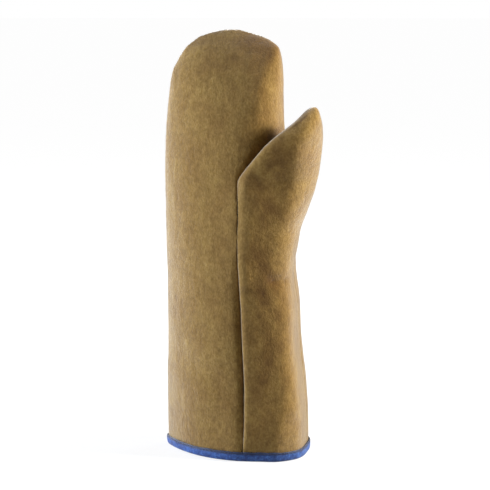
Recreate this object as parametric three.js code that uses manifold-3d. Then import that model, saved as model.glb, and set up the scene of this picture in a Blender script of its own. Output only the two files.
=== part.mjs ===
// A heat-resistant work mitten, standing on its bound cuff with the fingers up and the palm towards -Y.
// Three cloth panels are sewn into one hollow shell, and a folded tape binds the cuff:
//   palm_panel    the front of the fingers and of the cuff, left of the front seam
//   thumb_panel   the thumb and the front of the cuff right of that seam, folded round without a seam
//   back_panel    the whole back, met by the other two along the outline seam
//   cuff_binding  the tape folded over the cuff's edge, which the mitten stands on
// Millimetres, +Z up. The origin is the middle of the footprint, on the surface that it stands on.
import * as THREE from "three";
import { mergeVertices } from "three/addons/utils/BufferGeometryUtils.js";
import Module from "manifold-3d";

const LENGTH = 400; // floor to the top seam
const WALL = 3; // thick brushed cloth
const SEAM_GAP = 0.3; // clearance between neighbouring panels
const PROUD = 2.4; // how far the thumb panel's rolled edge stands over the palm panel
const ROLL = 2.8; // over this width the edge rises that far
const PROUD_FROM = 30; // it stands fully proud from here up, and the binding presses it flat
const CROTCH_Z = 254; // where the thumb leaves the palm
const WAIST_Z = 130; // below this the thumb panel simply follows the cuff

// The clearances are those between the folded tape and the cloth, outside and inside the cuff.
const BINDING = { height: 9.8, thickness: 1.2, bulge: 0.3, outer_ease: 0.6, inner_ease: 1 };
const HEM_Z = BINDING.thickness + SEAM_GAP; // the panels' lower edge, inside the folded tape

// The rows of a table whose columns are named once.
function table(columns, ...rows) {
  const names = columns.split(" ");
  return rows.map((row) => Object.fromEntries(names.map((name, i) => [name, row[i]])));
}

// The hand's outline seen from the palm, without the thumb: the x of its left and right edge.
const HAND_OUTLINE = table(
  "z left right",
  [0, -71, 64.4],
  [12, -72.2, 64.2],
  [40, -72.6, 63.3],
  [70, -72.8, 61],
  [105, -71.4, 57.1],
  [145, -72, 55],
  [175, -71.9, 51.6],
  [205, -72.8, 50.6],
  [250, -72.9, 47.3],
  [290, -72, 44.5],
  [330, -68.5, 42.5],
  [352, -65.8, 42.6],
  [362, -63.5, 42.1],
  [371, -58.7, 41.5],
  [383, -51.5, 39.3],
  [391, -41.5, 30.5],
  [396.5, -32.2, 17.6],
  [LENGTH, -17, 5.5],
);

// The hand's level sections. front and back are the depth on each side of the outline seam, lean how far
// the section is pushed along y, skew how far its deepest place lies right of its middle, and point_left
// and point_right how sharp each edge is: 0.5 is round, 1 is a sewn, lens-like edge.
const HAND_SECTIONS = table(
  "z front back lean skew point_left point_right",
  [0, 44.5, 42, 0, 0.15, 0.85, 0.3],
  [12, 45.5, 43, 0, 0.15, 0.84, 0.27],
  [70, 45.5, 43, 0, 0.17, 0.8, 0.25],
  [145, 45, 42, 0, 0.21, 0.76, 0.27],
  [205, 43, 40, -1, 0.25, 0.7, 0.34],
  [250, 40, 37, -2.5, 0.28, 0.68, 0.58],
  [290, 36.5, 34.5, -4, 0.33, 0.68, 0.72],
  [330, 31, 31, -6, 0.33, 0.68, 0.62],
  [352, 25.5, 26, -7, 0.28, 0.7, 0.52],
  [371, 18.5, 18.5, -7.8, 0.2, 0.74, 0.4],
  [383, 12.5, 12.5, -8.4, 0.1, 0.8, 0.42],
  [391, 7.5, 7.5, -8.8, 0.05, 0.85, 0.55],
  [396.5, 4, 4, -9, 0, 0.9, 0.8],
  [LENGTH, 1.8, 1.8, -9, 0, 0.9, 0.9],
);

// The front seam, from the cuff to the crotch. dip is how far the palm panel is drawn in along it.
const FRONT_SEAM = table(
  "z x dip",
  [0, 13.6, 0.1],
  [40, 14.8, 0.8],
  [75, 14.2, 1.6],
  [107, 12.8, 2],
  [145, 10.9, 1.9],
  [173, 9.3, 1.3],
  [187, 8.6, 0.6],
  [200, 8.3, 0],
  [227, 8.1, -0.2],
  [CROTCH_Z, 8, 0.2],
);
const DIP_WIDTH = { palm: 6, thumb: 3.2 }; // how far the valley along that seam reaches into each panel

// Soft folds of the front, each along a line between two places given as [x, z]. rise is how far it
// stands out, or in where it is negative.
const WAIST_FOLDS = [
  { name: "crease at the waist", from: [64, 163], to: [46, 172], width: 6, rise: -2.2 },
  { name: "fullness above the waist", from: [59, 200], to: [55, 187], width: 8, rise: 1.8 },
];
const HAND_FOLDS = [
  ...WAIST_FOLDS,
  { name: "top of the ridge right of the fingers", from: [40, 379], to: [32, 367], width: 8, rise: 1.6 },
  { name: "that ridge's lower part", from: [28, 354], to: [24, 332], width: 9, rise: 1.6 },
  { name: "hollow left of that ridge", from: [12, 372], to: [2, 330], width: 12, rise: -1.2 },
  { name: "corner where the cuff turns to its side", from: [56, 60], to: [53, 150], width: 12, rise: 4.2 },
  { name: "drawn in behind the thumb's seam edge", from: [14, 266], to: [27, 286], width: 5.5, rise: -2.8 },
  { name: "soft draw across the cuff", from: [-58, 96], to: [2, 70], width: 14, rise: -1.1 },
  { name: "soft draw across the palm", from: [-62, 226], to: [-8, 246], width: 15, rise: -1.2 },
];
const THUMB_FOLDS = [
  ...WAIST_FOLDS,
  { name: "flare of the seam at the crotch", from: [14, 254], to: [18, 271], width: 5.5, rise: 2.6 },
];

// Level sections of the thumb, between its seam edge and its folded edge. front and rear are how far it
// swells on each side of the line between the two, and corner_x and corner where, and how far, its front
// stands out further before it turns to the side.
const THUMB_SECTIONS = table(
  "z seam_x seam_y fold_x fold_y front rear corner_x corner",
  [WAIST_Z, 12, -46, 56, 0, 16.5, 20, 53, 4.5],
  [170, 11, -45.5, 52.9, -1, 17, 20, 53.5, 5.2],
  [200, 9, -44.5, 60.2, -3, 16.4, 20, 54.5, 6.4],
  [216, 8.6, -44, 62.4, -4, 16, 20, 58, 7.2],
  [230, 8.4, -43.5, 66.8, -5.5, 15.6, 20, 62.3, 7.6],
  [CROTCH_Z, 8, -43, 73.6, -8, 14, 19, 66, 7.3],
  [263, 9, -44.5, 75.7, -8.5, 13.8, 18.5, 67, 7.1],
  [270, 13.4, -46, 77.2, -9, 14, 18.5, 68, 6.8],
  [282, 23.6, -47.5, 79.2, -10, 14.2, 18, 69.4, 6.2],
  [295, 35, -48, 80.6, -11, 14, 16.5, 71, 5],
  [304, 45, -47, 81.2, -12, 13.5, 15, 72, 3.8],
  [312, 55.8, -44.5, 80.8, -13.5, 12, 12.5, 73, 2.4],
  [320, 65.6, -41, 79, -16, 9.5, 9.5, 73.5, 1.2],
  [326, 71, -36.5, 77, -19, 7, 6.5, 73.5, 0.5],
  [329, 73.3, -33, 76.4, -22, 4.8, 4, 73.5, 0.2],
  [331, 75, -29.5, 76.2, -25.5, 2, 1.5, 73.5, 0],
);
const THUMB_TOP = THUMB_SECTIONS[THUMB_SECTIONS.length - 1].z;
const THUMB_POINT = { seam: 0.46, seam_at_tip: 0.85, fold: 0.76 }; // sharpness of its two edges
const SHARPENS = { from: 285, to: 320 }; // heights between which the seam edge turns as sharp as at the tip
const CORNER_WIDTH = 15.5;

// Heights at which the rings of each loft lie: even steps, then closer ones where it closes at the top.
const HAND_RINGS = { step: 12, closes_from: 340, closing: 9, round: 52 };
const THUMB_RINGS = { step: 12, closes_from: 250, closing: 11, round: 32 };
const INNER_SHARE = 0.6; // the inside is meshed this much coarser than the outside

const CLOTH_COLOUR = 0x9a8054;
const TAPE_COLOUR = 0x2c4f9e;

const lerp = THREE.MathUtils.lerp;
const smoothstep = THREE.MathUtils.smoothstep;

// A smooth curve through one column of a table, without overshoot, as a function of height.
function columnCurve(rows, name) {
  const z = rows.map((row) => row.z);
  const value = rows.map((row) => row[name]);
  const rise = z.slice(1).map((top, i) => (value[i + 1] - value[i]) / (top - z[i]));
  const slope = value.map((_, i) => {
    const below = rise[Math.max(i - 1, 0)];
    const above = rise[Math.min(i, rise.length - 1)];
    return below * above > 0 ? (2 * below * above) / (below + above) : 0;
  });
  return (height) => {
    const h = THREE.MathUtils.clamp(height, z[0], z[z.length - 1]);
    const i = Math.min(Math.max(z.findIndex((top) => top >= h) - 1, 0), rise.length - 1);
    const run = z[i + 1] - z[i];
    const t = (h - z[i]) / run;
    const ends = value[i] * (1 + 2 * t) * (1 - t) ** 2 + value[i + 1] * t ** 2 * (3 - 2 * t);
    return ends + run * (slope[i] * t * (1 - t) ** 2 - slope[i + 1] * t ** 2 * (1 - t));
  };
}

// All the columns of a table as curves.
function tableCurves(rows) {
  const names = Object.keys(rows[0]).filter((name) => name !== "z");
  return Object.fromEntries(names.map((name) => [name, columnCurve(rows, name)]));
}

const hand = { ...tableCurves(HAND_OUTLINE), ...tableCurves(HAND_SECTIONS) };
const seam = tableCurves(FRONT_SEAM);
const thumb = tableCurves(THUMB_SECTIONS);

// How far the folds raise the front at one place, [x, z].
function foldRise(folds, x, z) {
  const here = new THREE.Vector3(x, z, 0);
  const nearest = new THREE.Vector3();
  let rise = 0;
  for (const fold of folds) {
    const line = new THREE.Line3(new THREE.Vector3(...fold.from, 0), new THREE.Vector3(...fold.to, 0));
    line.closestPointToPoint(here, true, nearest);
    rise += fold.rise * Math.exp(-((nearest.distanceTo(here) / fold.width) ** 2));
  }
  return rise;
}

// A point of the hand's section at height z, grown outwards by grow. The turn runs from 0 at the left
// edge over the palm to PI at the right edge, and on over the back.
function handPoint(z, turn, grow = 0) {
  const left = hand.left(z) - grow;
  const right = hand.right(z) + grow;
  const along = -Math.cos(turn);
  const point = lerp(hand.point_left(z), hand.point_right(z), (along + 1) / 2);
  const arch = Math.abs(Math.sin(turn)) ** (2 * point);
  const x = (left + right) / 2 + ((right - left) / 2) * (along + hand.skew(z) * (1 - along ** 2));
  if (turn > Math.PI) return new THREE.Vector2(x, hand.lean(z) + (hand.back(z) + grow) * arch);
  const away = x - seam.x(z);
  const dip = seam.dip(z) * Math.exp(-((away / (away < 0 ? DIP_WIDTH.palm : DIP_WIDTH.thumb)) ** 2));
  const relief = foldRise(HAND_FOLDS, x, z) - (z < CROTCH_Z ? dip : 0);
  return new THREE.Vector2(x, hand.lean(z) - (hand.front(z) + grow) * arch - relief * Math.min(1, 2 * arch));
}

// The turn at which the hand's section passes the front seam, or a place left of it by grow.
function seamTurn(z, grow) {
  const half = (hand.right(z) - hand.left(z)) / 2;
  const place = (seam.x(z) - grow - hand.left(z)) / half - 1;
  const skew = hand.skew(z);
  return Math.acos((Math.sqrt(1 - 4 * skew * (place - skew)) - 1) / (2 * skew));
}

// A point moved square to the curve that next and last lie on, outwards for a curve that runs
// anticlockwise.
function movedOut(point, last, next, distance) {
  const along = next.clone().sub(last).normalize();
  return point.clone().add(new THREE.Vector2(along.y, -along.x).multiplyScalar(distance));
}

// The cuff's own surface right of the front seam, raised to the thumb panel's level.
function cuffArch(z, t, grow) {
  const turn = lerp(seamTurn(z, grow), Math.PI, t);
  const nudge = 0.01;
  const point = handPoint(z, turn);
  const roll = 1 - THREE.MathUtils.clamp((point.x - handPoint(z, seamTurn(z, grow)).x) / ROLL, 0, 1);
  const fade = Math.cos((Math.PI / 2) * t) ** 0.5;
  const proud = PROUD * smoothstep(z, BINDING.height / 2, PROUD_FROM) * fade * Math.sqrt(1 - roll ** 2);
  const [last, next] = [handPoint(z, turn - nudge), handPoint(z, Math.min(turn + nudge, Math.PI))];
  return movedOut(point, last, next, proud + grow);
}

// Half of a lens from one point to another, swelling to the right of the way by depth.
function lensArch(from, to, depth, t, seamPoint = THUMB_POINT.seam) {
  const along = -Math.cos(Math.PI * t);
  const point = lerp(seamPoint, THUMB_POINT.fold, t);
  const middle = from.clone().add(to).multiplyScalar(0.5);
  const half = to.clone().sub(from).multiplyScalar(0.5);
  const out = new THREE.Vector2(half.y, -half.x).normalize();
  const swell = depth * Math.sin(Math.PI * t) ** (2 * point);
  return middle.addScaledVector(half, along).addScaledVector(out, swell);
}

// The front of the thumb panel at height z, from its seam edge at t = 0 to the fold at t = 1.
function thumbFront(z, t, grow) {
  const seamEdge = new THREE.Vector2(thumb.seam_x(z), thumb.seam_y(z));
  const fold = new THREE.Vector2(thumb.fold_x(z), thumb.fold_y(z));
  const way = fold.clone().sub(seamEdge).normalize();
  seamEdge.addScaledVector(way, -grow);
  fold.addScaledVector(way, grow);
  const sharper = smoothstep(z, SHARPENS.from, SHARPENS.to);
  const seamPoint = lerp(THUMB_POINT.seam, THUMB_POINT.seam_at_tip, sharper);
  const free = lensArch(seamEdge, fold, thumb.front(z) + grow, t, seamPoint);
  const corner = thumb.corner(z) * Math.exp(-(((free.x - thumb.corner_x(z)) / CORNER_WIDTH) ** 2));
  free.y -= (corner + foldRise(THUMB_FOLDS, free.x, z)) * Math.sin(Math.PI * t);
  const share = smoothstep(z, WAIST_Z, CROTCH_Z);
  return share < 1 ? cuffArch(Math.min(z, CROTCH_Z), t, grow).lerp(free, share) : free;
}

// The whole ring of the thumb's section. Below the crotch its rear half lies in the hand's hollow, and
// its seam edge is cut square through the cloth.
function thumbRing(z, grow, count) {
  const half = count / 2;
  const ring = [];
  for (let i = 0; i <= half; i++) ring.push(thumbFront(z, i / half, grow));
  const [from, to] = [ring[0], ring[half]];
  const depth = thumb.rear(z) + grow;
  for (let i = half - 1; i > 0; i--) ring.push(lensArch(from, to, -depth, i / half));
  const cut = new THREE.Vector2(from.x, from.y + 2 * WALL);
  ring[count - 1].lerp(cut, 1 - smoothstep(z, CROTCH_Z - 10, CROTCH_Z + 10));
  return ring;
}

function handRing(z, grow, count) {
  return Array.from({ length: count }, (_, i) => handPoint(z, (2 * Math.PI * i) / count, grow));
}

function ringHeights(rings, top, share = 1) {
  const step = rings.step / share;
  const closing = Math.round(rings.closing * share);
  const even = Array.from({ length: Math.ceil(rings.closes_from / step) }, (_, i) => i * step);
  const close = (i) => lerp(rings.closes_from, top, Math.sin((Math.PI / 2) * (i / closing)));
  return [...even, ...Array.from({ length: closing + 1 }, (_, i) => close(i))];
}

const wasm = await Module();
wasm.setup();

function solidOf(geometry) {
  geometry.deleteAttribute("normal");
  geometry.deleteAttribute("uv");
  const merged = mergeVertices(geometry, 1e-4);
  const vertProperties = merged.attributes.position.array;
  return new wasm.Manifold(new wasm.Mesh({ numProp: 3, vertProperties, triVerts: merged.index.array }));
}

// A closed solid through level rings of equal count, anticlockwise from above, lowest ring first.
function loft(rings) {
  const count = rings[0].length;
  const corners = rings.flatMap((ring) => ring.flatMap((p) => [p.x, p.y, p.z]));
  const middleOf = (ring) => ring.reduce((sum, p) => sum.add(p), new THREE.Vector3()).divideScalar(count);
  const [floor, roof] = [middleOf(rings[0]), middleOf(rings[rings.length - 1])];
  corners.push(floor.x, floor.y, floor.z, roof.x, roof.y, roof.z);
  const bottom = rings.length * count;
  const faces = [];
  for (let i = 0; i < count; i++) {
    const j = (i + 1) % count;
    faces.push(bottom, j, i, bottom + 1, bottom - count + i, bottom - count + j);
    for (let r = 0; r < rings.length - 1; r++) {
      const [low, high] = [r * count, (r + 1) * count];
      faces.push(low + i, low + j, high + j, low + i, high + j, high + i);
    }
  }
  const geometry = new THREE.BufferGeometry();
  geometry.setAttribute("position", new THREE.Float32BufferAttribute(corners, 3));
  geometry.setIndex(faces);
  return solidOf(geometry);
}

const atHeight = (ring, z) => ring.map((p) => new THREE.Vector3(p.x, p.y, z));

// The hand's loft from height start up. An inset one stops lower and narrows sooner towards the top.
function handSolid(grow, start, share = 1) {
  const drop = Math.min(grow, 0);
  const heights = ringHeights(HAND_RINGS, LENGTH + grow * 1.5, share).filter((z) => z > start);
  const count = 2 * Math.round((HAND_RINGS.round * share) / 2);
  return loft([start, ...heights].map((z) => atHeight(handRing(z - drop, grow, count), z)));
}

function thumbSolid(grow, start, share = 1) {
  const drop = (z) => (z > CROTCH_Z ? Math.min(grow, 0) : 0);
  const heights = ringHeights(THUMB_RINGS, THUMB_TOP + grow, share).filter((z) => z > start);
  const count = 2 * Math.round((THUMB_RINGS.round * share) / 2);
  return loft([start, ...heights].map((z) => atHeight(thumbRing(z - drop(z), grow, count), z)));
}

// The sheet between palm and back: it follows the hand's lean.
function outlineSheet() {
  const reach = 150;
  const edge = [];
  for (let z = -10; z <= LENGTH + 10; z += 10) edge.push(new THREE.Vector2(hand.lean(z), z));
  const front = edge.map((p) => new THREE.Vector2(p.x - SEAM_GAP / 2, p.y));
  const back = edge.map((p) => new THREE.Vector2(p.x + SEAM_GAP / 2, p.y)).reverse();
  const sheet = new THREE.ExtrudeGeometry(new THREE.Shape([...front, ...back]), {
    depth: 2 * reach,
    bevelEnabled: false,
  });
  sheet.rotateX(Math.PI / 2).rotateZ(Math.PI / 2).translate(-reach, 0, 0);
  return solidOf(sheet);
}

// The separate bodies of a solid, largest first.
const bodiesOf = (solid) => solid.decompose().sort((a, b) => b.volume() - a.volume());

// The shell of hand and thumb, cut apart along the seams.
function clothPanels() {
  const outer = handSolid(0, HEM_Z).add(thumbSolid(0, HEM_Z));
  const inner = handSolid(-WALL, -5, INNER_SHARE).add(thumbSolid(-WALL, -5, INNER_SHARE));
  const shell = outer.subtract(inner);
  const [thumbPanel] = bodiesOf(shell.intersect(thumbSolid(SEAM_GAP, 0)));
  const rest = shell.subtract(thumbSolid(2 * SEAM_GAP, 0)).subtract(outlineSheet());
  const frontOf = (body) => body.boundingBox().min[1];
  const [palmPanel, backPanel] = bodiesOf(rest).slice(0, 2).sort((a, b) => frontOf(a) - frontOf(b));
  return { palm_panel: palmPanel, back_panel: backPanel, thumb_panel: thumbPanel };
}

// The tape's section: [distance out from the cloth's outer face, height], anticlockwise.
function bindingSection() {
  const { height, thickness, bulge, outer_ease: outer, inner_ease } = BINDING;
  const inner = -WALL - inner_ease;
  return [
    [inner - thickness * 0.6, 0],
    [outer + thickness * 0.4, 0],
    [outer + thickness, height * 0.14],
    [outer + thickness + bulge, height * 0.5],
    [outer + thickness, height * 0.9],
    [outer + thickness * 0.5, height],
    [outer, height * 0.96],
    [outer, thickness],
    [inner, thickness],
    [inner, height * 0.9],
    [inner - thickness * 0.5, height * 0.94],
    [inner - thickness, height * 0.84],
    [inner - thickness - bulge * 0.6, height * 0.45],
    [inner - thickness, height * 0.14],
  ];
}

function cuffBinding() {
  const count = HAND_RINGS.round;
  const section = bindingSection();
  const rings = section.map(([, z]) => handRing(z, 0, count));
  const corners = [];
  for (let i = 0; i < count; i++) {
    for (const [k, [out, z]] of section.entries()) {
      const [last, next] = [rings[k][(i + count - 1) % count], rings[k][(i + 1) % count]];
      const moved = movedOut(rings[k][i], last, next, out);
      corners.push(moved.x, moved.y, z);
    }
  }
  const faces = [];
  const n = section.length;
  for (let i = 0; i < count; i++) {
    for (let k = 0; k < n; k++) {
      const [a, b] = [i * n + k, i * n + ((k + 1) % n)];
      const [c, d] = [((i + 1) % count) * n + k, ((i + 1) % count) * n + ((k + 1) % n)];
      faces.push(a, c, d, a, d, b);
    }
  }
  const geometry = new THREE.BufferGeometry();
  geometry.setAttribute("position", new THREE.Float32BufferAttribute(corners, 3));
  geometry.setIndex(faces);
  return solidOf(geometry);
}

function meshOf(name, solid, color, roughness) {
  const { vertProperties, triVerts } = solid.getMesh();
  const geometry = new THREE.BufferGeometry();
  geometry.setAttribute("position", new THREE.BufferAttribute(vertProperties, 3));
  geometry.setIndex(new THREE.BufferAttribute(triVerts, 1));
  geometry.computeVertexNormals();
  const material = new THREE.MeshStandardMaterial({ color, roughness, metalness: 0 });
  const mesh = new THREE.Mesh(geometry, material);
  mesh.name = name;
  return mesh;
}

const mitten = new THREE.Group();
for (const [name, panel] of Object.entries(clothPanels())) {
  mitten.add(meshOf(name, panel, CLOTH_COLOUR, 0.95));
}
mitten.add(meshOf("cuff_binding", cuffBinding(), TAPE_COLOUR, 0.7));

// The tables above count x and y from the cuff's middle, and the footprint's middle is the origin.
const footprint = new THREE.Box3().setFromObject(mitten).getCenter(new THREE.Vector3());
mitten.position.set(-footprint.x, -footprint.y, 0);

export default mitten;
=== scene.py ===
import math

import bmesh
import bpy
import numpy as np
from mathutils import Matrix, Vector


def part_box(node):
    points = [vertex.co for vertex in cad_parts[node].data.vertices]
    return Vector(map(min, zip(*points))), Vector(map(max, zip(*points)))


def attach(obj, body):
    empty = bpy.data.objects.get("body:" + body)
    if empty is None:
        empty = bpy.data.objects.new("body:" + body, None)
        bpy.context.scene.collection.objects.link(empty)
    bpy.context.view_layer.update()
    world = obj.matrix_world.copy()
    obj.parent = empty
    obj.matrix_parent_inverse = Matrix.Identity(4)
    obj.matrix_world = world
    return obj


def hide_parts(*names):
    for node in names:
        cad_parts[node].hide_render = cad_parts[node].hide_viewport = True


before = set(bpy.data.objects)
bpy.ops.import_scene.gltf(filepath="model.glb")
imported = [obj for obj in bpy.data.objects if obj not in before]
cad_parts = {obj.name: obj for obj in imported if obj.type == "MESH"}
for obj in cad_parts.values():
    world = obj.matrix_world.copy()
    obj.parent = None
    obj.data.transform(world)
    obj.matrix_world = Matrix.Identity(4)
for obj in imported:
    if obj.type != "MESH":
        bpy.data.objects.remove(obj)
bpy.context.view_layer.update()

MM = 0.001

LENGTH = 400  # floor to the top seam
WALL = 3  # thick brushed cloth
PROUD = 2.4  # how far the thumb panel's rolled edge stands over the palm panel
ROLL = 2.8  # over this width the edge rises that far
PROUD_FROM = 30  # below this height the binding presses it flat
RIM = {"rise": 0.55, "width": 2.4, "starts": (225, 262), "fades": (288, 312)}  # bead along the thumb's seam
CROTCH_Z = 254  # where the thumb leaves the palm
WAIST_Z = 130  # below this the thumb panel simply follows the cuff
WRAP = {"turn": 0.03, "fades": (105, 165)}  # how far it reaches round the cuff's side below the waist
DIP_WIDTH = {"palm": 4.6, "thumb": 3.2}  # how far the valley along the front seam reaches into each panel
HEM_Z = 2.3  # the panels' lower edge, inside the folded tape

# Where the panels are cut before their edges are rolled: how far the thumb panel reaches past its own
# surface, how far palm and back stay off it, and the gap in the outline seam, which is cut with an
# overlap near the cuff. Rolling opens each by 0.5.
THUMB_CUT = 0.3
REST_CUT = 0.35
OUTLINE_CUT = {"above": 0.05, "cuff": -0.16, "changes": (52, 72)}

# The eases are the clearances between the folded tape and the cloth, outside and inside the cuff.
BINDING = {"height": 9.8, "thickness": 1.2, "bulge": 0.3, "outer_ease": 0.6, "inner_ease": 1}
BINDING_STEPS = 220
CRUMPLE = {"pucker": 0.16, "waver": 0.28, "starts": (1.5, 6)}
STITCH = {"height": 8, "pitch": 4, "length": 2.8, "radius": 0.33, "out": 0.93, "sides": 6, "rings": 5}
STITCH_PATH_STEPS = 2000

SLACK = {"wide": 0.35, "narrow": 0.12, "free": (8, 40)}  # waves in the cloth, which the binding holds flat


def table(columns, *rows):
    """A short table as one array for each named column."""
    return dict(zip(columns.split(), np.array(rows, float).T))


# The hand's outline seen from the palm, without the thumb: the x of its left and right edge.
HAND_OUTLINE = table(
    "z left right",
    (0, -71, 64.4),
    (12, -72.2, 64.2),
    (40, -72.6, 63.3),
    (70, -72.8, 61),
    (105, -71.4, 57.1),
    (145, -72, 55),
    (175, -71.9, 51.6),
    (205, -72.8, 50.6),
    (250, -72.9, 47.3),
    (290, -72, 44.5),
    (330, -68.5, 42.5),
    (352, -65.8, 42.6),
    (362, -63.5, 42.1),
    (371, -58.7, 41.5),
    (383, -51.5, 39.3),
    (391, -41.5, 30.5),
    (396.5, -32.2, 17.6),
    (LENGTH, -17, 5.5),
)

# The hand's level sections. front and back are the depth on each side of the outline seam, lean how far
# the section is pushed along y, skew how far its deepest place lies right of its middle, and point_left
# and point_right how sharp each edge is: 0.5 is round, 1 is a sewn, lens-like edge.
HAND_SECTIONS = table(
    "z front back lean skew point_left point_right",
    (0, 44.5, 42, 0, 0.15, 0.85, 0.3),
    (12, 45.5, 43, 0, 0.15, 0.84, 0.27),
    (70, 45.5, 43, 0, 0.17, 0.8, 0.25),
    (145, 45, 42, 0, 0.21, 0.76, 0.27),
    (205, 43, 40, -1, 0.25, 0.7, 0.34),
    (250, 40, 37, -2.5, 0.28, 0.68, 0.58),
    (290, 36.5, 34.5, -4, 0.33, 0.68, 0.72),
    (330, 31, 31, -6, 0.33, 0.68, 0.62),
    (352, 25.5, 26, -7, 0.28, 0.7, 0.52),
    (371, 18.5, 18.5, -7.8, 0.2, 0.74, 0.4),
    (383, 12.5, 12.5, -8.4, 0.1, 0.8, 0.42),
    (391, 7.5, 7.5, -8.8, 0.05, 0.85, 0.55),
    (396.5, 4, 4, -9, 0, 0.9, 0.8),
    (LENGTH, 1.8, 1.8, -9, 0, 0.9, 0.9),
)

# The front seam, from the cuff to the crotch. dip is how far the palm panel is drawn in along it.
FRONT_SEAM = table(
    "z x dip",
    (0, 13.6, 0.1),
    (40, 14.8, 0.8),
    (75, 14.2, 1.6),
    (107, 12.8, 2),
    (145, 10.9, 1.9),
    (173, 9.3, 1.3),
    (187, 8.6, 0.6),
    (200, 8.3, 0),
    (227, 8.1, -0.2),
    (CROTCH_Z, 8, 0.2),
)

# Soft folds of the hand's and of the thumb's front, each along a line between two places given as x, z.
# rise is how far it stands out, or in where it is negative. Hand and thumb share those at the waist.
WAIST_FOLDS = (
    (64, 169, 40, 171, 4.5, -2.2),  # crease
    (61, 204, 56, 183, 7, 2.8),  # fullness above it
)
SEAM_FULLNESS = (17, 168, 17, 225, 5.5, 1.7)  # right of the front seam
HAND_FOLDS = table(
    "from_x from_z to_x to_z width rise",
    (40, 379, 33, 367, 8, 0.7),  # top of the ridge at the right of the fingers
    (29, 354, 25, 332, 9, 1.2),  # the ridge's lower part
    (4, 372, 0, 330, 14, -0.5),  # hollow left of that ridge
    *WAIST_FOLDS,
    (56, 52, 58, 160, 12, 3.2),  # corner where the cuff turns to its side
    (44, 0, 49, 36, 10, 2.4),  # the same at its lower end
    SEAM_FULLNESS,
    (7, 185, 6, 250, 12, 2),  # fullness left of the seam
    (6, 12, 4, 70, 11, 1.5),  # the same at the cuff
    (14, 266, 27, 286, 5.5, -2.8),  # drawn in behind the thumb's seam edge
    (-58, 96, 2, 70, 14, -1.1),  # soft draw across the cuff
    (-62, 226, -8, 246, 15, -1.2),  # soft draw across the palm
)
THUMB_FOLDS = table(
    "from_x from_z to_x to_z width rise",
    *WAIST_FOLDS,
    SEAM_FULLNESS,
    (14, 254, 18, 271, 5.5, 2.6),  # where the seam allowance flares at the crotch
)

# Painted shade: places where the cloth's colour is darkened as if in shade, along lines as for the folds.
# rise is how much, up to 1.
PALM_PAINTED_SHADE = table(
    "from_x from_z to_x to_z width rise",
    # the thumb's painted shadow on the palm
    (20, 278, 40, 303, 8, 0.8),  # behind the thumb
    # painted shade where the fingers' top turns from the light
    (12, 390, 30, 385, 13, 0.75),  # top of the fingers
    # painted shade in the hollow beside the ridge
    (22, 370, 36, 366, 9, 0.2),  # beside the ridge
)
THUMB_PAINTED_SHADE = table(
    "from_x from_z to_x to_z width rise",
    # painted shade under the fold's fullness
    (20, 163, 50, 170, 7, 0.35),  # under the fullness above the waist
)
# Painted shade in the valley left of the front seam.
VALLEY_PAINTED_SHADE = {"width": 3.1, "starts": (8, 55), "eases": (70, 120), "ease": 0.55, "ends": (150, 215)}
# A painted shadow line beside the thumb's seam edge near its tip.
TIP_PAINTED_SHADOW = {"off": 2.4, "width": 1.4, "starts": (310, 315), "ends": (322, 327), "rise": 0.8}

# Dark blotches on the thumb panel's front: the cloth's mottling, partly painted shade where the front turns
# from the light.
# Each row starts and ends softly between two heights. Its waves swing round the level, and strength is how
# dark they get.
BLOTCHES = table(
    "starts started ends ended level swing longest shortest seed strength",
    (25, 80, 180, 240, 0.4, 0.95, 30, 11, 57, 0.7),
    (180, 230, 285, 305, 0, 1.1, 26, 10, 58, 0.6),
)
BLOTCHES_AT = {"x": 36, "reach": 17}

# Level sections of the thumb, between its seam edge and its folded edge. front and rear are how far it
# swells on each side of the line between the two, and corner_x and corner where, and how far, its front
# stands out further before it turns to the side.
THUMB_SECTIONS = table(
    "z seam_x seam_y fold_x fold_y front rear corner_x corner",
    (WAIST_Z, 12, -46, 56, 0, 16.5, 20, 53, 4.5),
    (170, 11, -45.5, 52.9, -1, 17, 20, 53.5, 5.2),
    (200, 9, -44.5, 60.2, -3, 16.4, 20, 54.5, 6.4),
    (216, 8.6, -44, 62.4, -4, 16, 20, 58, 7.2),
    (230, 8.4, -43.5, 66.8, -5.5, 15.6, 20, 62.3, 7.6),
    (CROTCH_Z, 8, -43, 73.6, -8, 14, 19, 66, 7.3),
    (263, 9, -44.5, 75.7, -8.5, 13.8, 18.5, 67, 7.1),
    (270, 13.4, -46, 77.2, -9, 14, 18.5, 68, 6.8),
    (282, 23.6, -47.5, 79.2, -10, 14.2, 18, 69.4, 6.2),
    (295, 35, -48, 80.6, -11, 14, 16.5, 71, 5),
    (304, 45, -47, 81.2, -12, 13.5, 15, 72, 3.8),
    (312, 55.8, -44.5, 80.8, -13.5, 12, 12.5, 73, 2.4),
    (320, 65.6, -41, 79, -16, 9.5, 9.5, 73.5, 1.2),
    (326, 71, -36.5, 77, -19, 7, 6.5, 73.5, 0.5),
    (329, 73.3, -33, 76.4, -22, 4.8, 4, 73.5, 0.2),
    (331, 75, -29.5, 76.2, -25.5, 2, 1.5, 73.5, 0),
)
THUMB_TOP = THUMB_SECTIONS["z"][-1]
THUMB_POINT = {"seam": 0.52, "seam_at_tip": 0.85, "fold": 0.76}  # sharpness of its two edges
SHARPENS = (285, 320)  # between these heights the seam edge turns as sharp as at the tip
CORNER_WIDTH = 15.5
CROTCH_EASE = 10  # the thumb's rear changes its form within this height of the crotch
SQUARE_CUT = 0.125  # share of the thumb's rear that the square cut at the seam edge takes up

# How finely the hand and the thumb are lofted.
HAND_RINGS = {"step": 3, "closes_from": 340, "closing": 44, "round": 260}
THUMB_RINGS = {"step": 3, "closes_from": 250, "closing": 44, "round": 240}
INNER_SHARE = 0.5  # the inside is meshed this much coarser than the outside

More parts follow.
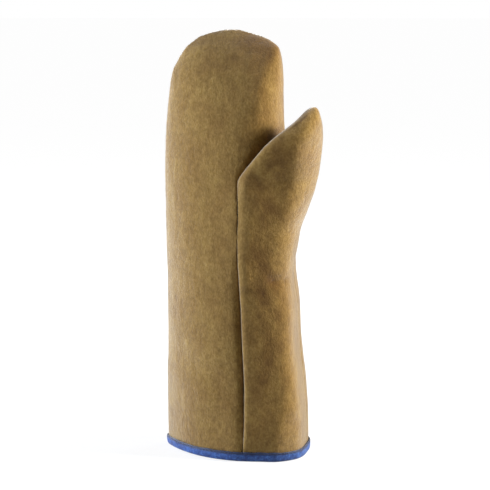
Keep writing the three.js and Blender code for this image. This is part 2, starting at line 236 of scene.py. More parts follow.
# The camera stands where the photograph was taken from: a little right of the palm, level with the top.
# All its measures but the lens and the sensor are in metres.
CAMERA_TURN = math.radians(14)
CAMERA = {
    "distance": 1.5,
    "height": 0.41645,
    "aim_height": 0.19785,
    "aside": 0.00446,
    "lens": 117.68,
    "sensor": 36,
    "sees_to": 400,
}

# What the camera sees of floor and world, and what light they throw. The floor's values are given at a
# near and a far distance from the mitten, in metres, and reach is in millimetres.
FLOOR = {
    "colour": (0.25, 0.25, 0.25),
    "seen": ((0.25, 0.76), (1.0, 0.97)),
    "felt": ((0.3, 0.15), (1.8, 0.4)),
    "reach": 100000,
}
WORLD = {"seen": 1.0, "felt": 0.06}

# Each soft light's name, direction in degrees anticlockwise from +X, distance and height in metres, its own
# width and height, power in watts and colour.
SOFTBOXES = (
    ("right_box", 6, 1.3, 0.84, (0.36, 0.32), 46, (1, 0.97, 0.92)),
    ("left_box", -161, 1.4, 0.42, (0.5, 1.1), 35.5, (0.93, 1, 1.12)),
    ("rim_left", 150, 1.3, 0.3, (0.7, 1), 22, (1, 1, 1)),
    ("rim_right", 52, 1.3, 0.3, (0.5, 0.9), 7, (1, 0.95, 0.86)),
)
WHITE = (1, 1, 1)


def lerp(a, b, t):
    return a + (b - a) * t


def smoothstep(x, low, high):
    t = np.clip((x - low) / (high - low), 0, 1)
    return t * t * (3 - 2 * t)


def smooth_column(z, value):
    """A smooth curve through one column of a table, without overshoot, as a function of height."""
    rise = np.diff(value) / np.diff(z)
    below = np.r_[rise[0], rise]
    above = np.r_[rise, rise[-1]]
    same_way = below * above > 0
    slope = np.where(same_way, 2 * below * above / np.where(same_way, below + above, 1), 0)

    def at(height):
        h = np.clip(height, z[0], z[-1])
        i = np.clip(np.searchsorted(z, h) - 1, 0, len(rise) - 1)
        run = z[i + 1] - z[i]
        t = (h - z[i]) / run
        ends = value[i] * (1 + 2 * t) * (1 - t) ** 2 + value[i + 1] * t**2 * (3 - 2 * t)
        return ends + run * (slope[i] * t * (1 - t) ** 2 - slope[i + 1] * t**2 * (1 - t))

    return at


def curves_of(rows):
    return {name: smooth_column(rows["z"], rows[name]) for name in rows if name != "z"}


HAND = {**curves_of(HAND_OUTLINE), **curves_of(HAND_SECTIONS)}
SEAM = curves_of(FRONT_SEAM)
THUMB = curves_of(THUMB_SECTIONS)


def fold_rise(folds, x, z):
    """How far the folds raise the front at each place."""
    x, z = np.broadcast_arrays(x, z)
    rise = np.zeros(x.shape)
    for from_x, from_z, to_x, to_z, width, height in zip(*folds.values()):
        way = np.array([to_x - from_x, to_z - from_z])
        along = ((x - from_x) * way[0] + (z - from_z) * way[1]) / (way @ way)
        near = np.clip(along, 0, 1)
        away = (x - from_x - near * way[0]) ** 2 + (z - from_z - near * way[1]) ** 2
        rise += height * np.exp(-away / width**2)
    return rise


def hand_point(z, turn, grow=0.0):
    """Points of the hand's sections, grown outwards. The turn runs from 0 at the left edge over the palm to
    PI at the right edge, and on over the back."""
    left = HAND["left"](z) - grow
    right = HAND["right"](z) + grow
    along = -np.cos(turn)
    point = lerp(HAND["point_left"](z), HAND["point_right"](z), (along + 1) / 2)
    arch = np.abs(np.sin(turn)) ** (2 * point)
    x = (left + right) / 2 + (right - left) / 2 * (along + HAND["skew"](z) * (1 - along**2))
    away = x - SEAM["x"](z)
    reach = np.where(away < 0, DIP_WIDTH["palm"], DIP_WIDTH["thumb"])
    dip = SEAM["dip"](z) * np.exp(-((away / reach) ** 2))
    relief = fold_rise(HAND_FOLDS, x, z) - np.where(z < CROTCH_Z, dip, 0)
    palm = HAND["lean"](z) - (HAND["front"](z) + grow) * arch - relief * np.minimum(1, 2 * arch)
    back = HAND["lean"](z) + (HAND["back"](z) + grow) * arch
    return np.stack([x, np.where(turn > np.pi, back, palm)], axis=-1)


def seam_turn(z, grow):
    """The turn at which the hand's section passes the front seam, or a place left of it by grow."""
    half = (HAND["right"](z) - HAND["left"](z)) / 2
    place = (SEAM["x"](z) - grow - HAND["left"](z)) / half - 1
    skew = HAND["skew"](z)
    return np.arccos((np.sqrt(1 - 4 * skew * (place - skew)) - 1) / (2 * skew))


def square_to(way):
    """The unit vector to the right of each way."""
    unit = way / np.linalg.norm(way, axis=-1, keepdims=True)
    return np.stack([unit[..., 1], -unit[..., 0]], axis=-1)


def rim_rise(z, away):
    """How far the bead rises, that far from the free thumb's seam edge."""
    share = smoothstep(z, *RIM["starts"]) * (1 - smoothstep(z, *RIM["fades"]))
    return RIM["rise"] * share * np.exp(-((away / RIM["width"]) ** 2))


def cuff_arch(z, t, grow):
    """The cuff's own surface right of the front seam, raised to the thumb panel's level."""
    last = np.pi + WRAP["turn"] * (1 - smoothstep(z, *WRAP["fades"]))
    turn = lerp(seam_turn(z, grow), last, t)
    nudge = 0.01
    way = hand_point(z, np.minimum(turn + nudge, last)) - hand_point(z, turn - nudge)
    point = hand_point(z, turn)
    roll = 1 - np.clip((point[..., 0] - point[..., :1, 0]) / ROLL, 0, 1)
    free = smoothstep(z, BINDING["height"] / 2, PROUD_FROM)
    proud = free * PROUD * np.cos(np.pi / 2 * t) ** 0.5 * (1 - roll**2) ** 0.8
    return point + square_to(way) * (proud + grow)[..., None]


def lens_arch(start, end, depth, t, seam_point=THUMB_POINT["seam"]):
    """Half of a lens from one point to another, swelling to the right of the way by depth."""
    along = -np.cos(np.pi * t)[..., None]
    point = lerp(seam_point, THUMB_POINT["fold"], t)
    swell = depth * np.sin(np.pi * t) ** (2 * point)
    half = (end - start) / 2
    return start + half * (1 + along) + square_to(half) * swell[..., None]


def thumb_front(z, t, grow):
    """The front of the thumb panel, from its seam edge at t = 0 to the fold at t = 1."""
    seam_edge = np.stack([THUMB["seam_x"](z), THUMB["seam_y"](z)], axis=-1)
    fold = np.stack([THUMB["fold_x"](z), THUMB["fold_y"](z)], axis=-1)
    way = (fold - seam_edge) / np.linalg.norm(fold - seam_edge, axis=-1, keepdims=True)
    seam_point = lerp(THUMB_POINT["seam"], THUMB_POINT["seam_at_tip"], smoothstep(z, *SHARPENS))
    free = lens_arch(seam_edge - way * grow, fold + way * grow, THUMB["front"](z) + grow, t, seam_point)
    bead = rim_rise(z, np.linalg.norm(free - free[..., :1, :], axis=-1)) * np.minimum(1, 12 * t)
    corner = THUMB["corner"](z) * np.exp(-(((free[..., 0] - THUMB["corner_x"](z)) / CORNER_WIDTH) ** 2))
    free[..., 1] -= (corner + fold_rise(THUMB_FOLDS, free[..., 0], z)) * np.sin(np.pi * t) + bead
    share = smoothstep(z, WAIST_Z, CROTCH_Z)[..., None]
    return lerp(cuff_arch(np.minimum(z, CROTCH_Z), t, grow), free, share)


def thumb_rings(heights, grow, count):
    """The thumb's sections. Below the crotch the rear half lies in the hand's hollow, and the seam edge is
    cut square through the cloth."""
    z = heights[:, None]
    half = count // 2
    front = thumb_front(z, np.arange(half + 1) / half, grow)
    start, end = front[:, :1], front[:, -1:]
    depth = -(THUMB["rear"](z) + grow)
    t = np.arange(half - 1, 0, -1) / half
    rear = lens_arch(start, end, depth, t)
    behind = start + np.array([0, 2 * WALL])
    joins = lens_arch(start, end, depth, np.array([SQUARE_CUT]))
    part = (t / SQUARE_CUT)[:, None]
    square = np.where(part < 0.5, lerp(start, behind, 2 * part), lerp(behind, joins, 2 * part - 1))
    share = (1 - smoothstep(z, CROTCH_Z - CROTCH_EASE, CROTCH_Z + CROTCH_EASE))[..., None]
    rear = np.where(part < 1, lerp(rear, square, share), rear)
    return np.concatenate([front, rear], axis=1)


def hand_rings(heights, grow, count):
    turn = 2 * np.pi * np.arange(count) / count
    return hand_point(heights[:, None], turn, grow)


def ring_heights(rings, start, top, share):
    even = np.arange(0, rings["closes_from"], rings["step"] / share)
    closing = round(rings["closing"] * share)
    close = lerp(rings["closes_from"], top, np.sin(np.pi / 2 * np.arange(closing + 1) / closing))
    heights = np.r_[even, close]
    return np.r_[start, heights[heights > start]]


def even_count(rings, share):
    return 2 * round(rings["round"] * share / 2)


def to_object(name, points, faces):
    """A new object from points in millimetres."""
    mesh = bpy.data.meshes.new(name)
    mesh.from_pydata(np.asarray(points, float) * MM, [], faces)
    mesh.update()
    obj = bpy.data.objects.new(name, mesh)
    bpy.context.scene.collection.objects.link(obj)
    return obj


def loft(name, rings, heights):
    """A closed solid through level rings of equal count, anticlockwise from above, lowest ring first."""
    rows, count = rings.shape[:2]
    z = np.repeat(heights, count)[:, None]
    points = np.hstack([rings.reshape(-1, 2), z])
    ends = [np.r_[rings[i].mean(axis=0), heights[i]] for i in (0, -1)]
    points = np.vstack([points, ends])
    i = np.arange(count)
    j = (i + 1) % count
    top = (rows - 1) * count
    base = np.stack([np.full(count, rows * count), j, i], axis=1)
    lid = np.stack([np.full(count, rows * count + 1), top + i, top + j], axis=1)
    low = count * np.arange(rows - 1)[:, None]
    walls = np.stack([low + i, low + j, low + count + j, low + count + i], axis=-1).reshape(-1, 4)
    return to_object(name, points, [*base.tolist(), *lid.tolist(), *walls.tolist()])


def hand_solid(grow, start, share=1.0):
    """The hand's loft. An inset one stops lower and narrows sooner towards the top."""
    heights = ring_heights(HAND_RINGS, start, LENGTH + grow * 1.5, share)
    rings = hand_rings(heights - min(grow, 0), grow, even_count(HAND_RINGS, share))
    return loft("hand", rings, heights)


def thumb_solid(grow, start, share=1.0):
    heights = ring_heights(THUMB_RINGS, start, THUMB_TOP + grow, share)
    drop = np.where(heights > CROTCH_Z, min(grow, 0), 0)
    rings = thumb_rings(heights - drop, grow, even_count(THUMB_RINGS, share))
    return loft("thumb", rings, heights)


def side_block(side):
    """All that lies on the palm's side of the outline seam for side -1, or on the back's side for 1."""
    reach = 150
    z = np.arange(-10, LENGTH + 15, 5.0)
    cut = lerp(OUTLINE_CUT["cuff"], OUTLINE_CUT["above"], smoothstep(z, *OUTLINE_CUT["changes"]))
    near = HAND["lean"](z) + side * cut / 2
    far = np.full(len(z), side * reach)
    corners = [(x, y, h) for x in (-reach, reach) for ys in (near, far) for y, h in zip(ys, z)]
    n = len(z)
    strips = [(0, n), (n, 3 * n), (3 * n, 2 * n), (2 * n, 0)]
    faces = [(a + k, b + k, b + k + 1, a + k + 1) for a, b in strips for k in range(n - 1)]
    faces += [(0, 2 * n, 3 * n, n), (n - 1, 2 * n - 1, 4 * n - 1, 3 * n - 1)]
    if side > 0:
        faces = [face[::-1] for face in faces]
    return to_object("side", corners, faces)


def combine(obj, other, operation):
    """obj joined with, cut by or kept inside another solid, which is used up."""
    step = obj.modifiers.new("step", "BOOLEAN")
    step.object = other
    step.operation = operation
    step.solver = "MANIFOLD"
    apply_modifiers(obj)
    bpy.data.objects.remove(other)
    return obj


def apply_modifiers(obj):
    bpy.context.view_layer.update()
    evaluated = obj.evaluated_get(bpy.context.evaluated_depsgraph_get())
    mesh = bpy.data.meshes.new_from_object(evaluated)
    obj.modifiers.clear()
    obj.data = mesh


def copy_of(obj, name):
    twin = bpy.data.objects.new(name, obj.data.copy())
    bpy.context.scene.collection.objects.link(twin)
    return twin


def keep_largest(obj):
    """Drops every loose scrap but the largest body."""
    bm = bmesh.new()
    bm.from_mesh(obj.data)
    left = set(bm.verts)
    bodies = []
    while left:
        body = {left.pop()}
        edge = list(body)
        while edge:
            around = {e.other_vert(v) for v in edge for e in v.link_edges} & left
            left -= around
            body |= around
            edge = list(around)
        bodies.append(body)
    bodies.sort(key=len)
    for body in bodies[:-1]:
        bmesh.ops.delete(bm, geom=list(body), context="VERTS")
    bm.to_mesh(obj.data)
    bm.free()


def cloth_forms():
    """The shell of hand and thumb, cut apart along the seams."""
    outer = combine(hand_solid(0, HEM_Z), thumb_solid(0, HEM_Z), "UNION")
    hollow = combine(hand_solid(-WALL, -5, INNER_SHARE), thumb_solid(-WALL, -5, INNER_SHARE), "UNION")
    shell = combine(outer, hollow, "DIFFERENCE")
    thumb = combine(copy_of(shell, "thumb_cloth"), thumb_solid(THUMB_CUT, 0), "INTERSECT")
    rest = combine(shell, thumb_solid(REST_CUT, 0), "DIFFERENCE")
    palm = combine(copy_of(rest, "palm_cloth"), side_block(-1), "INTERSECT")
    back = combine(copy_of(rest, "back_cloth"), side_block(1), "INTERSECT")
    bpy.data.objects.remove(rest)
    return palm, back, thumb


def soften(obj, voxel, rounds, kept):
    """An even fine mesh whose cut edges are rolled round, thinned out where it is plain. kept is the share
    of faces that stay."""
    keep_largest(obj)
    remesh = obj.modifiers.new("even", "REMESH")
    remesh.mode = "VOXEL"
    remesh.voxel_size = voxel * MM
    smooth = obj.modifiers.new("roll", "SMOOTH")
    smooth.factor = 0.5
    smooth.iterations = rounds
    thin = obj.modifiers.new("thin", "DECIMATE")
    thin.ratio = kept
    apply_modifiers(obj)
    keep_largest(obj)
    obj.data.shade_smooth()


def points_of(obj):
    points = np.empty(len(obj.data.vertices) * 3)
    obj.data.vertices.foreach_get("co", points)
    return points.reshape(-1, 3) / MM


def normals_of(obj):
    normals = np.empty(len(obj.data.vertices) * 3)
    obj.data.vertices.foreach_get("normal", normals)
    return normals.reshape(-1, 3)


def set_points(obj, points):
    obj.data.vertices.foreach_set("co", (points * MM).ravel())
    obj.data.update()


def undulation(points, seed, longest, shortest, count=28):
    """A sum of waves in all directions, mostly between -1 and 1, that run longer upwards."""
    random = np.random.default_rng(seed)
    total = np.zeros(len(points))
    for _ in range(count):
        way = random.normal(size=3) * (1, 1, 0.6)
        way /= np.linalg.norm(way)
        length = random.uniform(shortest, longest)
        total += np.sin(points @ way * 2 * np.pi / length + random.uniform(0, 2 * np.pi))
    return total / np.sqrt(2 * count)


def slacken(obj, seed):
    """Gives a panel the slight unevenness of heavy cloth, above the binding that holds it."""
    points = points_of(obj)
    wide = undulation(points, seed, longest=70, shortest=35)
    narrow = undulation(points, seed + 1, longest=22, shortest=9)
    wave = SLACK["wide"] * wide + SLACK["narrow"] * narrow
    free = smoothstep(points[:, 2], *SLACK["free"])
    set_points(obj, points + normals_of(obj) * (wave * free)[:, None])


def mark_painted_shade_and_mottling(obj, painted_shade_and_mottling):
    """Keeps for each point how dark the painted shade, and on the thumb the mottling, make the cloth there,
    for the cloth's material to read.
    """
    layer = obj.data.attributes.new("painted_shade_and_mottling", "FLOAT", "POINT")
    layer.data.foreach_set("value", painted_shade_and_mottling)


def palm_painted_shade(points):
    """Painted shade in the valley left of the front seam, and in the palm's painted shade patches."""
    x, y, z = points.T
    valley = np.exp(-(((SEAM["x"](z) - x) / VALLEY_PAINTED_SHADE["width"]) ** 2))
    eased = 1 - VALLEY_PAINTED_SHADE["ease"] * smoothstep(z, *VALLEY_PAINTED_SHADE["eases"])
    low = smoothstep(z, *VALLEY_PAINTED_SHADE["starts"]) * eased * (1 - smoothstep(z, *VALLEY_PAINTED_SHADE["ends"]))
    return np.clip(valley * low + fold_rise(PALM_PAINTED_SHADE, x, z), 0, 1) * (y < 0)


def blotches(points):
    """How dark the blotches on the thumb panel's front are."""
    x, _, z = points.T
    total = np.zeros(len(points))
    for row in zip(*BLOTCHES.values()):
        starts, started, ends, ended, level, swing, longest, shortest, seed, strength = row
        share = smoothstep(z, starts, started) * (1 - smoothstep(z, ends, ended))
        wave = undulation(points * (1, 0.5, 1), int(seed), longest, shortest)
        total += strength * (share * np.clip(level + swing * wave, 0, 1))
    return total * np.exp(-(((x - BLOTCHES_AT["x"]) / BLOTCHES_AT["reach"]) ** 2))


def thumb_painted_shade_and_mottling(points):
    """Mottled blotches, partly painted shade, painted shade under the waist's fullness, and a painted shadow
    line beside the seam at the tip.
    """
    x, y, z = points.T
    line = np.exp(-(((x - THUMB["seam_x"](z) - TIP_PAINTED_SHADOW["off"]) / TIP_PAINTED_SHADOW["width"]) ** 2))
    tip = smoothstep(z, *TIP_PAINTED_SHADOW["starts"]) * (1 - smoothstep(z, *TIP_PAINTED_SHADOW["ends"]))
    painted_shade_and_mottling = blotches(points) + TIP_PAINTED_SHADOW["rise"] * line * tip + fold_rise(THUMB_PAINTED_SHADE, x, z)
    return np.clip(painted_shade_and_mottling, 0, 1) * (y < 0)


def binding_section():
    """The tape's section: distance out from the cloth's outer face, and height, anticlockwise."""
    height, thickness, bulge, outer, inner_ease = BINDING.values()
    inner = -WALL - inner_ease
    return np.array(
        [
            (inner - thickness * 0.6, 0),
            (outer + thickness * 0.4, 0),
            (outer + thickness, height * 0.14),
            (outer + thickness + bulge, height * 0.5),
            (outer + thickness, height * 0.9),
            (outer + thickness * 0.5, height),
            (outer, height * 0.96),
            (outer, thickness),
            (inner, thickness),
            (inner, height * 0.9),
            (inner - thickness * 0.5, height * 0.94),
            (inner - thickness, height * 0.84),
            (inner - thickness - bulge * 0.6, height * 0.45),
            (inner - thickness, height * 0.14),
        ]
    )


def around_cuff(z, out, count):
    """A ring round the cuff at height z, that far out from the cloth."""
    turn = 2 * np.pi * np.arange(count) / count
    ring = hand_point(np.array([z]), turn)
    way = np.roll(ring, -1, axis=0) - np.roll(ring, 1, axis=0)
    return ring + square_to(way) * out


def binding():
    count = BINDING_STEPS
    section = binding_section()
    n = len(section)
    rings = [np.column_stack([around_cuff(z, out, count), np.full(count, z)]) for out, z in section]
    points = np.stack(rings, axis=1).reshape(-1, 3)
    faces = []
    for i in range(count):
        j = (i + 1) % count
        faces += [(i * n + k, j * n + k, j * n + (k + 1) % n, i * n + (k + 1) % n) for k in range(n)]
    return to_object("binding_tape", points, faces)


def crumple(tape):
    """The tape puckers a little between its stitches, and its upper edge wavers."""
    points = points_of(tape)
    pucker = undulation(points * (1, 1, 0.3), 91, longest=16, shortest=5)
    share = smoothstep(points[:, 2], *CRUMPLE["starts"])
    points[:, 2] += CRUMPLE["waver"] * share * undulation(points * (1, 1, 0), 92, longest=30, shortest=8)
    set_points(tape, points + normals_of(tape) * (CRUMPLE["pucker"] * pucker * share)[:, None])


def stitch_ends():
    """Where each stitch starts and ends, on a path round the tape just below its upper edge."""
    out = BINDING["outer_ease"] + BINDING["thickness"] * STITCH["out"]
    path = around_cuff(STITCH["height"], out, STITCH_PATH_STEPS)
    legs = np.linalg.norm(np.roll(path, -1, axis=0) - path, axis=1)
    travel = np.r_[0, np.cumsum(legs)]
    girth = travel[-1]
    total = round(girth / STITCH["pitch"])
    middles = girth * np.arange(total)[:, None] / total
    places = (middles + np.array([-0.5, 0.5]) * STITCH["length"]) % girth
    steps = np.interp(places, travel[:-1], np.arange(STITCH_PATH_STEPS))
    return path[steps.astype(int)]


def thread_points(start, end):
    """One stitch's rings of points, along its line, thinner towards both ends."""
    sides, rings = STITCH["sides"], STITCH["rings"]
    way = (end - start) / np.linalg.norm(end - start)
    side = square_to(way)
    points = []
    for ring in range(rings):
        along = -np.cos(np.pi * (ring + 0.35) / (rings - 0.3))
        width = STITCH["radius"] * math.sqrt(max(0.05, 1 - along**4))
        centre = (start + end) / 2 + way * along * STITCH["length"] / 2
        for angle in 2 * np.pi * np.arange(sides) / sides:
            level = centre + side * width * math.cos(angle)
            points.append((level[0], level[1], STITCH["height"] + width * math.sin(angle)))
    return points


def thread_faces(first):
    """The faces of the stitch whose points start at that number."""
    sides, rings = STITCH["sides"], STITCH["rings"]
    faces = []
    for low in range(first, first + (rings - 1) * sides, sides):
        for i in range(sides):
            j = (i + 1) % sides
            faces.append((low + i, low + sides + i, low + sides + j, low + j))
    last = first + (rings - 1) * sides
    faces.append(tuple(first + i for i in range(sides)))
    faces.append(tuple(last + i for i in reversed(range(sides))))
    return faces


def stitch_row():
    """Short threads in a row round the tape."""
    points = []
    faces = []
    for start, end in stitch_ends():
        faces += thread_faces(len(points))
        points += thread_points(start, end)
    return to_object("binding_stitches", points, faces)


def place_in_frame(objects, shift):
    for obj in objects:
        set_points(obj, points_of(obj) + shift)


def shader(name):
    material = bpy.data.materials.new(name)
    material.use_nodes = True
    nodes = material.node_tree.nodes
    return material, nodes, material.node_tree.links, nodes["Principled BSDF"]


def noise(nodes, links, scale, detail, stretch=(1, 1, 1), roughness=0.5):
    """Noise in the object's own space, drawn out by stretch."""
    place = nodes.new("ShaderNodeTexCoord")
    mapping = nodes.new("ShaderNodeMapping")
    mapping.inputs["Scale"].default_value = [1 / s for s in stretch]
    texture = nodes.new("ShaderNodeTexNoise")
    texture.inputs["Scale"].default_value = scale
    texture.inputs["Detail"].default_value = detail
    texture.inputs["Roughness"].default_value = roughness
    links.new(place.outputs["Object"], mapping.inputs["Vector"])
    links.new(mapping.outputs["Vector"], texture.inputs["Vector"])
    return texture.outputs["Fac"]


def ramp(nodes, links, factor, *stops):
    """A colour ramp through (place, colour) stops."""
    node = nodes.new("ShaderNodeValToRGB")
    elements = node.color_ramp.elements
    elements[0].position, elements[0].color = stops[0][0], (*stops[0][1], 1)
    elements[1].position, elements[1].color = stops[-1][0], (*stops[-1][1], 1)
    for place, colour in stops[1:-1]:
        elements.new(place).color = (*colour, 1)
    links.new(factor, node.inputs["Fac"])
    return node.outputs["Color"]


def tinted(nodes, links, colour, tint):
    """One colour multiplied by another."""
    node = nodes.new("ShaderNodeMix")
    node.data_type = "RGBA"
    node.blend_type = "MULTIPLY"
    node.inputs["Factor"].default_value = 1.0
    links.new(colour, node.inputs["A"])
    links.new(tint, node.inputs["B"])
    return node.outputs["Result"]


def bump(nodes, links, height, strength, distance, under=None):
    """Relief of that many metres, on top of another."""
    node = nodes.new("ShaderNodeBump")
    node.inputs["Strength"].default_value = strength
    node.inputs["Distance"].default_value = distance
    links.new(height, node.inputs["Height"])
    if under is not None:
        links.new(under, node.inputs["Normal"])
    return node.outputs["Normal"]


def brushed_cloth():
    """Tan cloth with a short felted nap brushed along the hand."""
    material, nodes, links, surface = shader("brushed_cloth")
    nap = noise(nodes, links, scale=650, detail=4, stretch=(1, 1, 1.6), roughness=0.7)
    tuft = noise(nodes, links, scale=230, detail=4, stretch=(1, 1, 1.4), roughness=0.65)
    cloud = noise(nodes, links, scale=60, detail=3, stretch=(1, 1, 1.5))
    fibre = noise(nodes, links, scale=1700, detail=2, stretch=(1, 1, 2.5))
    base = ramp(nodes, links, nap, (0.3, (0.187, 0.099, 0.011)), (0.7, (0.312, 0.191, 0.052)))
    tufts = ramp(nodes, links, tuft, (0.3, (0.74, 0.7, 0.58)), (0.7, (1.14, 1.16, 1.26)))
    clouds = ramp(nodes, links, cloud, (0.3, (0.85, 0.81, 0.74)), (0.7, (1.08, 1.13, 1.21)))
    # The attribute darkens the colour: painted shade on palm and thumb, and the thumb's mottling.
    shade_and_mottling_node = nodes.new("ShaderNodeAttribute")
    shade_and_mottling_node.attribute_name = "painted_shade_and_mottling"
    painted_shade_and_mottling = ramp(nodes, links, shade_and_mottling_node.outputs["Fac"], (0, WHITE), (1, (0.46, 0.34, 0.09)))
    for tint in (tufts, clouds, painted_shade_and_mottling):
        base = tinted(nodes, links, base, tint)
    links.new(base, surface.inputs["Base Color"])
    relief = bump(nodes, links, tuft, strength=0.5, distance=0.0012)
    relief = bump(nodes, links, nap, strength=0.6, distance=0.0006, under=relief)
    relief = bump(nodes, links, fibre, strength=0.35, distance=0.0003, under=relief)
    links.new(relief, surface.inputs["Normal"])
    surface.inputs["Roughness"].default_value = 0.95
    surface.inputs["Specular IOR Level"].default_value = 0.1
    surface.inputs["Sheen Weight"].default_value = 1.0
    surface.inputs["Sheen Roughness"].default_value = 0.45
    surface.inputs["Sheen Tint"].default_value = (1.0, 0.97, 0.92, 1)
    return material


def by_height(nodes, links, low, high):
    """A value that rises from 0 to 1 between two heights in metres."""
    place = nodes.new("ShaderNodeTexCoord")
    split = nodes.new("ShaderNodeSeparateXYZ")
    links.new(place.outputs["Object"], split.inputs["Vector"])
    change = nodes.new("ShaderNodeMapRange")
    change.inputs["From Min"].default_value = low
    change.inputs["From Max"].default_value = high
    links.new(split.outputs["Z"], change.inputs["Value"])
    return change.outputs["Result"]


def woven_tape():
    """Blue woven tape, mottled, with painted shade along its stitched upper edge."""
    material, nodes, links, surface = shader("woven_tape")
    thread = noise(nodes, links, scale=900, detail=2, stretch=(1, 1, 0.6))
    wear = noise(nodes, links, scale=210, detail=4, roughness=0.65)
    base = ramp(nodes, links, thread, (0.35, (0.006, 0.035, 0.19)), (0.7, (0.036, 0.122, 0.41)))
    mottled = ramp(nodes, links, wear, (0.36, (0.4, 0.5, 0.62)), (0.5, WHITE), (0.64, (2.2, 1.8, 1.45)))
    # painted shade along the tape's upper edge
    edge = ramp(nodes, links, by_height(nodes, links, 0.0058, 0.0082), (0, WHITE), (1, (0.36, 0.22, 0.2)))
    for tint in (mottled, edge):
        base = tinted(nodes, links, base, tint)
    links.new(base, surface.inputs["Base Color"])
    relief = bump(nodes, links, wear, strength=0.5, distance=0.0008)
    relief = bump(nodes, links, thread, strength=0.6, distance=0.0004, under=relief)
    links.new(relief, surface.inputs["Normal"])
    surface.inputs["Roughness"].default_value = 0.6
    surface.inputs["Sheen Weight"].default_value = 0.15
    return material


def sewing_thread():
    """Dark blue twisted thread."""
    material, nodes, links, surface = shader("sewing_thread")
    twist = noise(nodes, links, scale=2500, detail=2)
    base = ramp(nodes, links, twist, (0.3, (0.004, 0.008, 0.03)), (0.7, (0.02, 0.035, 0.11)))
    links.new(base, surface.inputs["Base Color"])
    links.new(bump(nodes, links, twist, strength=0.4, distance=0.0001), surface.inputs["Normal"])
    surface.inputs["Roughness"].default_value = 0.5
    return material


def dress(piece, node, material):
    """Gives a piece its material, its body and the CAD node that it replaces, if any."""
    piece.data.materials.clear()
    piece.data.materials.append(material)
    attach(piece, "root")
    if node:
        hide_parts(node)


def place_camera(shift):
    across = Vector((math.cos(CAMERA_TURN), math.sin(CAMERA_TURN), 0))
    forward = Vector((-across.y, across.x, 0))
    middle = Vector(shift) * MM + across * CAMERA["aside"]
    camera = bpy.data.objects.new("camera", bpy.data.cameras.new("camera"))
    bpy.context.scene.collection.objects.link(camera)
    camera.location = middle - forward * CAMERA["distance"] + Vector((0, 0, CAMERA["height"]))
    aim = middle + Vector((0, 0, CAMERA["aim_height"]))
    camera.rotation_euler = (aim - camera.location).to_track_quat("-Z", "Y").to_euler()
    camera.data.lens = CAMERA["lens"]
    camera.data.sensor_width = CAMERA["sensor"]
    camera.data.clip_end = CAMERA["sees_to"]
    bpy.context.scene.camera = camera


def softbox(name, turn, distance, height, size, power, colour):
    """A large soft light that faces the mitten's middle."""
    light = bpy.data.lights.new(name, "AREA")
    light.shape = "RECTANGLE"
    light.size, light.size_y = size
    light.energy = power
    light.color = colour
    lamp = bpy.data.objects.new(name, light)
    bpy.context.scene.collection.objects.link(lamp)
    angle = math.radians(turn)
    lamp.location = (distance * math.cos(angle), distance * math.sin(angle), height)
    aim = Vector((0, 0, LENGTH / 2 * MM))
    lamp.rotation_euler = (aim - lamp.location).to_track_quat("-Z", "Y").to_euler()


def seen_or_felt(nodes, links, seen, felt):
    """One value where the camera sees the surface itself, and another for the light that it throws."""
    ray = nodes.new("ShaderNodeLightPath")
    choice = nodes.new("ShaderNodeMix")
    links.new(ray.outputs["Is Camera Ray"], choice.inputs["Factor"])
    for name, value in (("A", felt), ("B", seen)):
        if isinstance(value, (int, float)):
            choice.inputs[name].default_value = value
        else:
            links.new(value, choice.inputs[name])
    return choice.outputs["Result"]


def by_distance(nodes, links, near, far):
    """A value that changes with the distance from the frame's origin, in metres: (distance, value) twice."""
    place = nodes.new("ShaderNodeTexCoord")
    length = nodes.new("ShaderNodeVectorMath")
    length.operation = "LENGTH"
    change = nodes.new("ShaderNodeMapRange")
    change.inputs["From Min"].default_value, change.inputs["To Min"].default_value = near
    change.inputs["From Max"].default_value, change.inputs["To Max"].default_value = far
    links.new(place.outputs["Object"], length.inputs[0])
    links.new(length.outputs["Value"], change.inputs["Value"])
    return change.outputs["Result"]


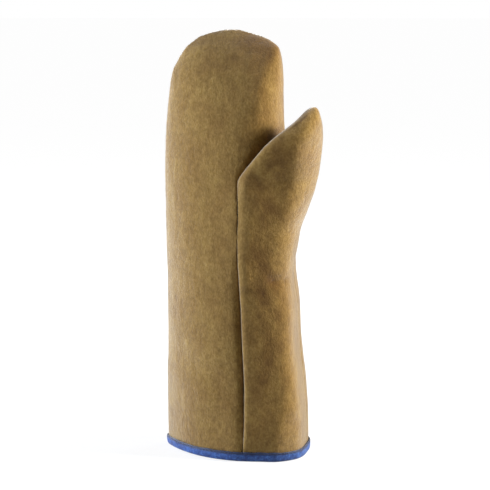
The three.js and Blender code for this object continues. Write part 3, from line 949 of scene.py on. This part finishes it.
def floor():
    """A plain white floor without an edge."""
    material, nodes, links, surface = shader("floor_white")
    surface.inputs["Base Color"].default_value = (*FLOOR["colour"], 1)
    surface.inputs["Roughness"].default_value = 1
    surface.inputs["Specular IOR Level"].default_value = 0
    surface.inputs["Emission Color"].default_value = (1, 1, 1, 1)
    seen = by_distance(nodes, links, *FLOOR["seen"])
    felt = by_distance(nodes, links, *FLOOR["felt"])
    links.new(seen_or_felt(nodes, links, seen, felt), surface.inputs["Emission Strength"])
    reach = FLOOR["reach"]
    corners = [(-reach, -reach, 0), (reach, -reach, 0), (reach, reach, 0), (-reach, reach, 0)]
    plane = to_object("floor", corners, [(0, 1, 2, 3)])
    plane.data.materials.append(material)


def surroundings():
    """White to the camera, and a faint even fill for everything else."""
    world = bpy.data.worlds.new("studio")
    world.use_nodes = True
    nodes, links = world.node_tree.nodes, world.node_tree.links
    background = nodes["Background"]
    background.inputs["Color"].default_value = (1, 1, 1, 1)
    links.new(seen_or_felt(nodes, links, **WORLD), background.inputs["Strength"])
    bpy.context.scene.world = world


palm, back, thumb = cloth_forms()
soften(palm, voxel=0.9, rounds=6, kept=0.55)
soften(back, voxel=1.0, rounds=4, kept=0.45)
soften(thumb, voxel=0.8, rounds=5, kept=0.5)
slacken(palm, seed=3)
slacken(back, seed=13)
slacken(thumb, seed=23)
# Painted shade, and the thumb's mottling, kept per point for the cloth's colour.
mark_painted_shade_and_mottling(palm, palm_painted_shade(points_of(palm)))
mark_painted_shade_and_mottling(thumb, thumb_painted_shade_and_mottling(points_of(thumb)))
mark_painted_shade_and_mottling(back, np.zeros(len(back.data.vertices)))
tape = binding()
round_off = tape.modifiers.new("round", "SUBSURF")
round_off.levels = round_off.render_levels = 1
apply_modifiers(tape)
crumple(tape)
tape.data.shade_smooth()
stitches = stitch_row()
stitches.data.shade_smooth()

# The frame's origin is the footprint's middle, and the tables count from the cuff's.
tape_points = points_of(tape)
tape_middle = (tape_points.min(axis=0) + tape_points.max(axis=0)) / 2
node_middle = sum(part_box("cuff_binding"), Vector()) / 2 / MM
shift = np.array([node_middle.x - tape_middle[0], node_middle.y - tape_middle[1], 0])
place_in_frame((palm, back, thumb, tape, stitches), shift)

cloth = brushed_cloth()
weave = woven_tape()
thread = sewing_thread()
dress(palm, "palm_panel", cloth)
dress(back, "back_panel", cloth)
dress(thumb, "thumb_panel", cloth)
dress(tape, "cuff_binding", weave)
dress(stitches, None, thread)

place_camera(shift)
floor()
surroundings()
for box in SOFTBOXES:
    softbox(*box)
bpy.context.scene.view_settings.view_transform = "Standard"
